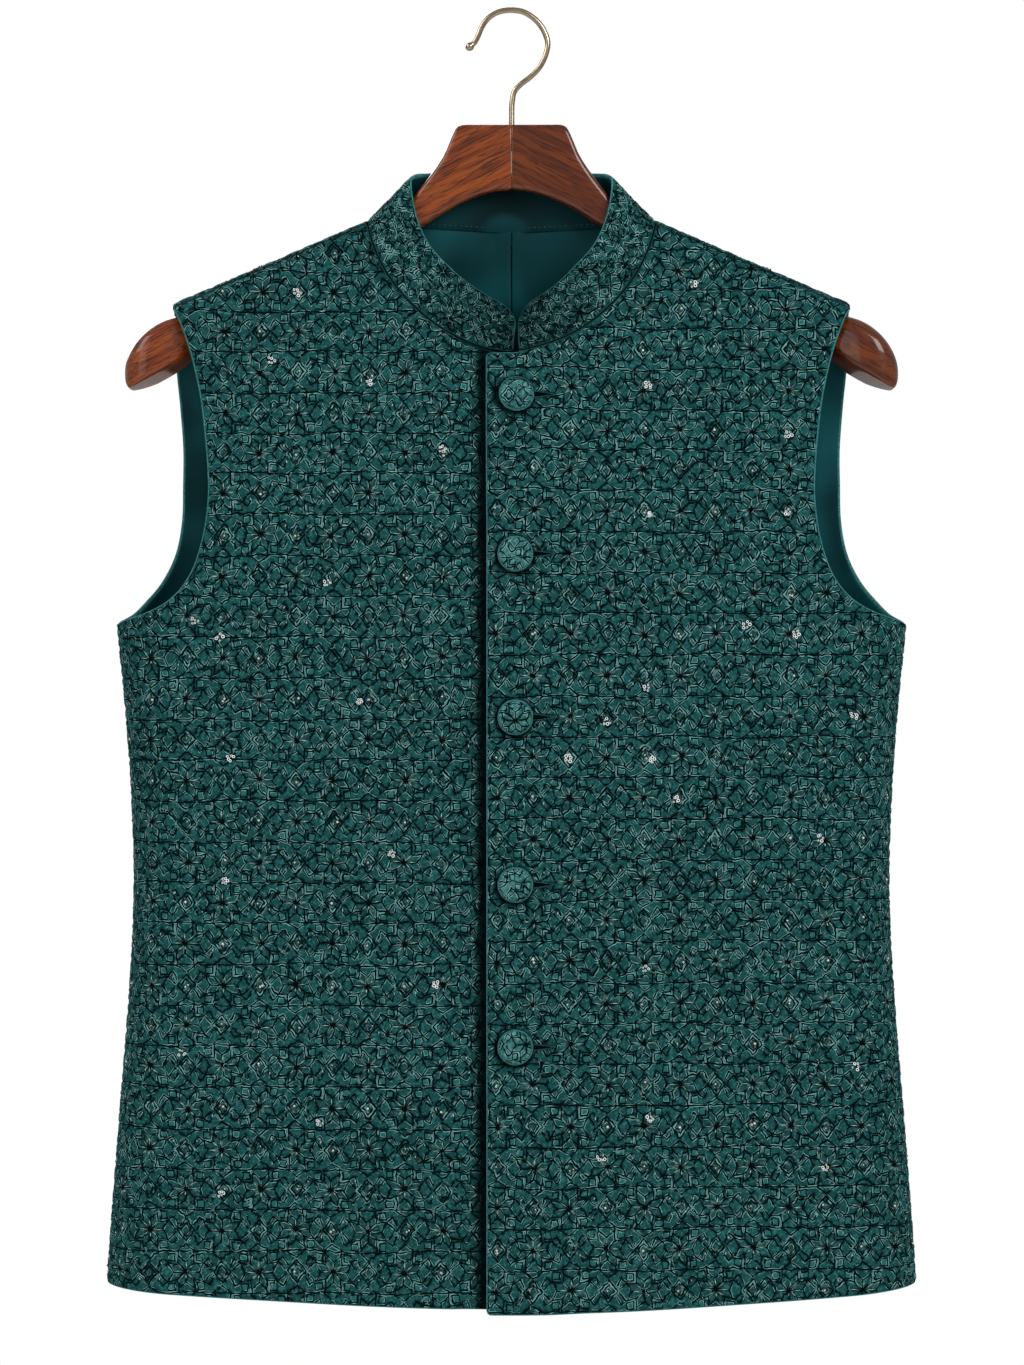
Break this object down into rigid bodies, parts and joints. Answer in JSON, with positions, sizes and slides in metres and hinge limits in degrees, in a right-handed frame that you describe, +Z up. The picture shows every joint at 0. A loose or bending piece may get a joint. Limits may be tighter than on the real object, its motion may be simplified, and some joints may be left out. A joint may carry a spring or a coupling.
{
  "type": "nehru jacket on a wooden hanger",
  "caption": "Sleeveless nehru jacket in quilted teal velvet with a band collar, buttoned down the front and hanging open-hollow on a contoured wooden hanger with a wire hook.",
  "frame": {"origin": "inside top of the hanger's hook, where a rail holds it", "axes": "+X to the wearer's left, -Y to the jacket's front, +Z up"},
  "size_m": [0.5246, 0.1137, 0.8427],
  "materials": {
    "quilted_velvet": "matt velvet, quilted",
    "lining_satin": "satin",
    "lacquered_wood": "clear gloss lacquer",
    "brushed_metal": "fine brushed, champagne tint"
  },
  "bodies": {
    "root": {"front_left": "quilted_velvet", "front_right": "quilted_velvet", "back": "quilted_velvet", "collar": "quilted_velvet", "collar_lining": "lining_satin", "back_lining_left": "lining_satin", "back_lining_right": "lining_satin", "button_1": "quilted_velvet", "button_2": "quilted_velvet", "button_3": "quilted_velvet", "button_4": "quilted_velvet", "button_5": "quilted_velvet", "hanger_left": "lacquered_wood", "hanger_right": "lacquered_wood", "hook": "brushed_metal"}
  },
  "joints": []
}
